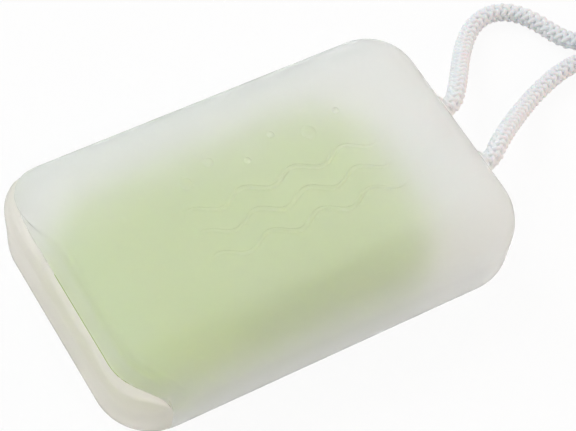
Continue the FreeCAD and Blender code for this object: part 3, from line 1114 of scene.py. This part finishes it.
def sleeve_shell():
    """The sleeve without its collars."""
    angles = even_angles(CASE, SLEEVE_COLUMNS, SLEEVE_AXIS)
    outside, inside, lip_inside = (
        form_lines(CASE, angles, inset, SLEEVE_AXIS)
        for inset in (0.0, SLEEVE_WALL, SLEEVE_WALL + LIP_WALL)
    )
    outside = fuller(outside)
    start = np.zeros(SLEEVE_COLUMNS)
    grown = growth(outside, mouth_edge)
    soft_start = VISOR_START - VISOR_START_LOSS * back_share(ring(outside, mouth_edge))
    visor_start = SEAM_ROUNDING + grown * (soft_start - SEAM_ROUNDING)
    skin = walk(outside, np.linspace(start, reach(outside, mouth_edge, visor_start), OUTER_ROWS))
    visor = visor_rows(outside, inside, grown, soft_start)
    at_mouth = reach(inside, mouth_edge, -VISOR_TOE * grown)
    behind_lap = reach(inside, mouth_edge, LIP_LAP + RAMP_LENGTH)
    lip_front = reach(inside, lip_edge, LIP_ROUNDING)
    lip_back = reach(lip_inside, lip_edge, LIP_ROUNDING)
    ramp = []
    for share in np.linspace(0, 1, RAMP_STEPS):
        distance, thinning = LIP_LAP + share * RAMP_LENGTH, smooth_step(share)
        thick, thin = (ring(lines, mouth_edge, distance) for lines in (lip_inside, inside))
        ramp.append((1 - thinning) * thick + thinning * thin)
    lip = np.concatenate([
        walk(inside, np.linspace(at_mouth, lip_front, LIP_ROWS)),
        edge_rows(inside, lip_inside, lip_edge, LIP_WALL, LIP_ROUNDING, LIP_ROUNDING),
        walk(lip_inside, np.linspace(lip_back, reach(lip_inside, mouth_edge, LIP_LAP), LIP_ROWS)),
        np.array(ramp),
    ])
    bare = walk(inside, np.linspace(at_mouth, behind_lap, len(lip)))
    has_lip = lip_edge(visor[-1]) > LIP_LEAST
    lip = np.where(has_lip[None, :, None], lip, bare)
    hollow = walk(inside, np.linspace(behind_lap, start, INNER_ROWS))
    return shell("sleeve_shell", np.concatenate([skin, visor, lip, hollow]))


sleeve_body = sleeve_shell()
print("sleeve shell", len(sleeve_body.data.polygons), "faces")

# %% [markdown]
# ## Collars and holes
#
# A short collar thickens the wall round each cord hole, so that the edge doesn't chafe the cord. Collar
# and hole are both turned shapes, so a profile is spun round the hole's middle. The hole's profile opens
# at both ends, which rounds the collar's mouth as it is cut.

# %% Collars and holes
TURN_COLUMNS = 64
# places count outwards from the end of the case, each with its radius
COLLAR_FOOT = [(-1.2, 0), (-1.2, 4.9), (-0.1, 4.9), (0.15, 4.65), (0.5, 4.38), (0.9, 4.12)]
COLLAR_TIP = CASE_END + 1.6
COLLAR_TIP_RADIUS = 4.0
COLLAR_ROUNDING = 0.5
HOLE_RADIUS = 2.8
HOLE_ROUNDING = 0.4
HOLE_OVERRUN = 1.0


def turned(name, profile, side):
    """A closed shape turned round the middle of a cord hole. The profile holds places and radii."""
    turns = np.linspace(0, 2 * math.pi, TURN_COLUMNS, endpoint=False)
    rows = [
        np.stack([
            np.full_like(turns, place),
            side * HOLE_SIDE + radius * np.cos(turns),
            HOLE_HEIGHT + radius * np.sin(turns),
        ], axis=-1)
        for place, radius in profile
    ]
    return shell(name, np.array(rows))


def quarter_profile(place, radius, rounding, along, out):
    """Points of a profile's rounding. along and out are 1 or -1 and say where it bulges."""
    return [
        (
            place + along * rounding * math.sin(turn),
            radius + out * rounding * math.cos(turn),
        )
        for turn in np.linspace(0, math.pi / 2, ROUND_STEPS)
    ]


def collar(side):
    """A collar that is rooted in the end wall."""
    tip = quarter_profile(
        COLLAR_TIP - COLLAR_ROUNDING, COLLAR_TIP_RADIUS - COLLAR_ROUNDING, COLLAR_ROUNDING, 1, 1
    )
    foot = [(CASE_END + place, radius) for place, radius in COLLAR_FOOT]
    return turned("collar", [*foot, *tip, (COLLAR_TIP, 0)], side)


def hole(side):
    """The room that the cord passes through, with a rounded opening at both ends."""
    wide = HOLE_RADIUS + HOLE_ROUNDING
    inner = quarter_profile(WALL_INSIDE + HOLE_ROUNDING, wide, HOLE_ROUNDING, -1, -1)
    outer = quarter_profile(COLLAR_TIP - HOLE_ROUNDING, wide, HOLE_ROUNDING, 1, -1)
    return turned(
        "hole",
        [
            (WALL_INSIDE - HOLE_OVERRUN, 0),
            (WALL_INSIDE - HOLE_OVERRUN, wide),
            *inner[::-1],
            *outer,
            (COLLAR_TIP + HOLE_OVERRUN, wide),
            (COLLAR_TIP + HOLE_OVERRUN, 0),
        ],
        side,
    )


collars = [("UNION", collar(side)) for side in (1, -1)]
holes = [("DIFFERENCE", hole(side)) for side in (1, -1)]
print("collars and holes", len(collars), len(holes))

# %% [markdown]
# ## Low relief on the top
#
# The top is moulded with a plain relief of waves and bubbles. One geometry tree makes both. It bends a
# line into a wave, sweeps a round section along it that shrinks at both ends, and sets copies side by
# side. The bubbles stand on the points of the mesh that the tree is given, with sizes from a fixed seed.
# Everything is sunk in the wall, so only low ridges are left when it is joined to the sleeve.

# %% Waves and bubbles
RELIEF = {
    "Length": 54.0 * MM,
    "Wave length": 13.5 * MM,
    "Wave height": 1.4 * MM,
    "Rows": 3,
    "Row distance": 6.5 * MM,
    "Section radius": 0.7 * MM,
    "Smallest bubble": 0.9 * MM,
    "Largest bubble": 2.1 * MM,
}
RELIEF_SUNK = 0.33
RELIEF_SEED = 7
WAVE_POINTS = 161
WAVE_TIP = 0.001
WAVE_FULLNESS = 0.25
RELIEF_SIDES = 14
FIRST_ROW = (4.0, -11.5)
BUBBLES = [(-17.0, 9.5), (-9.5, 12.5), (-1.0, 9.0), (7.5, 13.0), (16.0, 9.8), (25.0, 12.4)]


def wave_rows(tree, given):
    """Waves side by side, as instances."""
    half = calculate(tree, "MULTIPLY", given["Length"], 0.5)
    ends = [vector(tree, X=calculate(tree, "MULTIPLY", half, side)) for side in (-1, 1)]
    line = add_node(tree, "GeometryNodeCurvePrimitiveLine", {"Start": ends[0], "End": ends[1]}).outputs[0]
    fine = add_node(tree, "GeometryNodeResampleCurve", {"Curve": line, "Count": WAVE_POINTS}).outputs[0]
    place = add_node(tree, "GeometryNodeInputPosition").outputs[0]
    x = add_node(tree, "ShaderNodeSeparateXYZ", {0: place}).outputs["X"]
    turn = calculate(tree, "MULTIPLY", calculate(tree, "DIVIDE", x, given["Wave length"]), 2 * math.pi)
    swing = calculate(tree, "MULTIPLY", calculate(tree, "SINE", turn), given["Wave height"])
    offset = vector(tree, Y=swing)
    wave = add_node(tree, "GeometryNodeSetPosition", {"Geometry": fine, "Offset": offset}).outputs[0]
    share = add_node(tree, "GeometryNodeSplineParameter").outputs["Factor"]
    bow = calculate(tree, "SINE", calculate(tree, "MULTIPLY", share, math.pi))
    thickness = calculate(tree, "POWER", calculate(tree, "MAXIMUM", bow, WAVE_TIP), WAVE_FULLNESS)
    ridge = sweep(tree, wave, round_section(tree, given["Section radius"], RELIEF_SIDES), thickness)
    start = Vector((*FIRST_ROW, 0)) * MM
    step = vector(tree, Y=given["Row distance"])
    places = {"Count": given["Rows"], "Start Location": start, "Offset": step}
    points = add_node(tree, "GeometryNodeMeshLine", places).outputs[0]
    return add_node(tree, "GeometryNodeInstanceOnPoints", {"Points": points, "Instance": ridge}).outputs[0]


def bubble_tops(tree, given):
    """Flat bubbles on the given points, as instances."""
    size = add_node(
        tree,
        "FunctionNodeRandomValue",
        {"Min": given["Smallest bubble"], "Max": given["Largest bubble"], "Seed": RELIEF_SEED},
        data_type="FLOAT",
    ).outputs["Value"]
    scale = vector(tree, X=size, Y=size, Z=given["Section radius"])
    round_shape = {"Segments": 32, "Rings": 20, "Radius": 1.0}
    ball = add_node(tree, "GeometryNodeMeshUVSphere", round_shape).outputs[0]
    copies = {"Points": given["Bubbles"], "Instance": ball, "Scale": scale}
    return add_node(tree, "GeometryNodeInstanceOnPoints", copies).outputs[0]


print("relief of", RELIEF["Rows"], "waves and", len(BUBBLES), "bubbles")


# %% The relief's tree
def relief_tree():
    """The tree that makes the waves and the bubbles."""
    tree, given = open_tree("top_relief", "Bubbles", RELIEF, "Relief")
    joined = add_node(tree, "GeometryNodeJoinGeometry")
    for pieces in (wave_rows(tree, given), bubble_tops(tree, given)):
        tree.links.new(pieces, joined.inputs[0])
    move = {"Geometry": joined.outputs[0], "Translation": (0, 0, (CASE.height - RELIEF_SUNK) * MM)}
    lifted = add_node(tree, "GeometryNodeTransform", move).outputs[0]
    close_tree(tree, lifted, given["Finish"])
    return tree


bubble_points = edge_mesh([[Vector((x, y, 0)) * MM] for x, y in BUBBLES])
relief = run_tree("top_relief", relief_tree(), bubble_points, {**RELIEF, "Finish": sleeve_plastic})
print("relief", len(relief.data.polygons), "faces")

# %% [markdown]
# ## The finished sleeve
#
# The relief and the collars are joined to the shell and the holes cut with exact booleans, because the
# collar's foot runs over a curved wall.

# %% The finished sleeve
sleeve = combined("sleeve_moulding", sleeve_body, ("UNION", relief), *collars, *holes)
finish_mesh(sleeve.data, sleeve_plastic)
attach(sleeve, "case")
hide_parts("sleeve")
print("sleeve", len(sleeve.data.polygons), "faces")

# %% [markdown]
# ## The tray's cap
#
# The cap closes the open end. It is a thin shell with the case's own form, cut along its rim, and its
# net starts at the middle of the end.

# %% The tray's cap
CAP_WALL = SLEEVE_WALL - CLEARANCE
CAP_AXIS = 10.0
CAP_COLUMNS = 168
CAP_ROWS = 64
RIM_OUTER_ROUNDING = 0.6
RIM_INNER_ROUNDING = 0.35


def cap_shell():
    """The cap by itself."""
    angles = even_angles(CASE, CAP_COLUMNS, CAP_AXIS)
    outside, inside = (form_lines(CASE, angles, inset, CAP_AXIS, end=-1) for inset in (0.0, CAP_WALL))
    outside = fuller(outside)
    start = np.zeros(CAP_COLUMNS)
    grown = growth(outside, cap_edge)
    rounding = SEAM_ROUNDING + grown * (RIM_OUTER_ROUNDING - SEAM_ROUNDING)
    skin = walk(outside, np.linspace(start, reach(outside, cap_edge, rounding), CAP_ROWS))
    rim = edge_rows(outside, inside, cap_edge, CAP_WALL, rounding, RIM_INNER_ROUNDING)
    hollow = walk(inside, np.linspace(reach(inside, cap_edge, RIM_INNER_ROUNDING), start, CAP_ROWS))
    return shell("tray_cap", np.concatenate([skin, rim, hollow]))


cap = cap_shell()
print("cap", len(cap.data.polygons), "faces")

# %% [markdown]
# ## The tray's trough
#
# Behind the cap the tray runs on as a shallow trough that carries the soap. Its walls follow the same
# form, further in. With the net's lines starting on the top edge of the far wall, half a turn of them
# covers the trough, and the edges close into a rounded rim. The last stretch is thicker and reaches into
# the cap's wall, where the two become one moulding.

# %% The tray's trough
TRAY_WALL = 1.2
TROUGH_INSET = SLEEVE_WALL + CLEARANCE
TROUGH_GAP = 2.8
TROUGH_TOP = LIP_FOOT - TROUGH_GAP
CAP_BAND = 4.0
BAND_RECESS = 0.25
BAND_INSET = 0.9
TROUGH_COLUMNS = 88
TROUGH_ROWS = 120
BAND_ROWS = 6
TOP_STEPS = 9


def from_end(place):
    """A test for how far points lie behind a place along the case."""
    return lambda points: points[..., 0] - place


def trough_shell():
    """The trough by itself, closed at its open end by a flat face."""
    axis_height = TROUGH_TOP - TRAY_WALL / 2
    middle = even_angles(CASE, 2 * TROUGH_COLUMNS, axis_height)
    low = np.sort(np.mod(middle + math.pi, 2 * math.pi) - math.pi)
    angles = np.concatenate([[-math.pi], low[low < 0], [0.0]])
    outside, inside, band = (
        form_lines(CASE, angles, inset, axis_height)
        for inset in (TROUGH_INSET, TROUGH_INSET + TRAY_WALL, BAND_INSET)
    )
    band_start, band_end = from_end(CAP_EDGE - BAND_RECESS), from_end(CAP_EDGE - CAP_BAND)
    start = np.zeros(len(angles))

    def face(lines, band_lines):
        run = np.linspace(start, reach(lines, band_start), TROUGH_ROWS)
        last = np.linspace(reach(band_lines, band_start), reach(band_lines, band_end), BAND_ROWS)
        return np.concatenate([walk(lines, run), walk(band_lines, last)])

    outer, inner = face(outside, band), face(inside, inside)

    def top(first, last):
        centre, half = (first + last) / 2, (first - last) / 2
        rise = np.array([0, 0, TRAY_WALL / 2])
        turns = np.linspace(0, math.pi, TOP_STEPS)[1:-1]
        return np.stack([centre + half * math.cos(t) + rise * math.sin(t) for t in turns], axis=1)

    rows = [outer, top(outer[:, -1], inner[:, -1]), inner[:, ::-1], top(inner[:, 0], outer[:, 0])]
    return shell("tray_trough", np.concatenate(rows, axis=1), closed_at_last=True)


trough = trough_shell()
print("trough", len(trough.data.polygons), "faces")

# %% [markdown]
# ## Ribs
#
# Five low ribs keep the soap out of the water on the trough's floor. They repeat, so a geometry tree
# makes them: it sweeps a rounded section along one rib and sets copies side by side.

# %% Ribs
RIBS = {
    "Count": 5,
    "Pitch": 10.0 * MM,
    "Length": 84.7 * MM,
    "Width": 2.0 * MM,
    "Height": 1.6 * MM,
    "Rounding": 0.45 * MM,
}
FLOOR_TOP = TROUGH_INSET + TRAY_WALL
RIB_START = CAP_EDGE - CAP_BAND
RIB_RISE = 1.0


def rib_tree():
    """The tree that makes a row of ribs. The mesh it is given says where the row's middle starts."""
    tree, given = open_tree("tray_ribs", "Start", RIBS, "Ribs")
    end = vector(tree, X=given["Length"])
    length = add_node(tree, "GeometryNodeCurvePrimitiveLine", {"End": end}).outputs[0]
    sides = {"Width": given["Width"], "Height": given["Height"]}
    section = add_node(tree, "GeometryNodeCurvePrimitiveQuadrilateral", sides).outputs[0]
    rounding = {"Curve": section, "Count": ROUND_STEPS, "Radius": given["Rounding"]}
    soft = add_node(tree, "GeometryNodeFilletCurve", rounding, mode="POLY").outputs[0]
    rib = sweep(tree, length, soft)
    span = calculate(tree, "MULTIPLY", calculate(tree, "SUBTRACT", given["Count"], 1), given["Pitch"])
    first = vector(tree, Y=calculate(tree, "MULTIPLY", span, -0.5))
    step = vector(tree, Y=given["Pitch"])
    places = {"Count": given["Count"], "Start Location": first, "Offset": step}
    row = add_node(tree, "GeometryNodeMeshLine", places).outputs[0]
    for points in (row, given["Start"]):
        rib = add_node(tree, "GeometryNodeInstanceOnPoints", {"Points": points, "Instance": rib}).outputs[0]
    close_tree(tree, rib, given["Finish"])
    return tree


rib_centre = FLOOR_TOP + RIB_RISE - RIBS["Height"] / MM / 2
rib_start = edge_mesh([[Vector((RIB_START, 0, rib_centre)) * MM]])
ribs = run_tree("tray_ribs", rib_tree(), rib_start, {**RIBS, "Finish": tray_plastic})
print("ribs", len(ribs.data.polygons), "faces")

# %% [markdown]
# ## The finished tray
#
# Cap, trough and ribs overlap a little where they meet. Exact booleans join them, so the tray is one
# closed moulding with no faces inside.

# %% The finished tray
tray = combined("tray_moulding", cap, ("UNION", trough), ("UNION", ribs))
finish_mesh(tray.data, tray_plastic)
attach(tray, "tray")
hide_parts("soap_tray")
print("tray", len(tray.data.polygons), "faces")

# %% [markdown]
# ## The soap
#
# The bar is pressed in a die, so its edges are full and its faces swell a little towards the middle. It
# has the same kind of form as the case, and its net is made the same way. Then both faces are lowered
# towards their edges.

# %% The soap
soap_low, soap_high = (np.array(corner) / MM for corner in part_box("soap_bar"))
SOAP = Form(*(soap_high - soap_low), corner=16.0, crown=5.5, base=5.5)
SOAP_COLUMNS = 120
SOAP_ROWS = 110
SOAP_SWELL = 0.9


def soap_shell():
    """The bar of soap in its place on the ribs."""
    axis_height = SOAP.height / 2
    lines = form_lines(SOAP, even_angles(SOAP, SOAP_COLUMNS, axis_height), 0.0, axis_height)
    rows = walk(lines, np.linspace(np.zeros(SOAP_COLUMNS), lines[1][-1], SOAP_ROWS))
    out = np.hypot(rows[..., 0] / SOAP.length, rows[..., 1] / SOAP.width) * 2
    share = (rows[..., 2] - axis_height) / axis_height
    rows[..., 2] -= SOAP_SWELL * share * np.minimum(out, 1) ** 2
    middle = (soap_low + soap_high) / 2
    return shell("soap", rows + np.array([middle[0], middle[1], soap_low[2]]))


soap = soap_shell()
finish_mesh(soap.data, soap_green)
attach(soap, "soap")
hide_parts("soap_bar")
print("soap", len(soap.data.polygons), "faces")
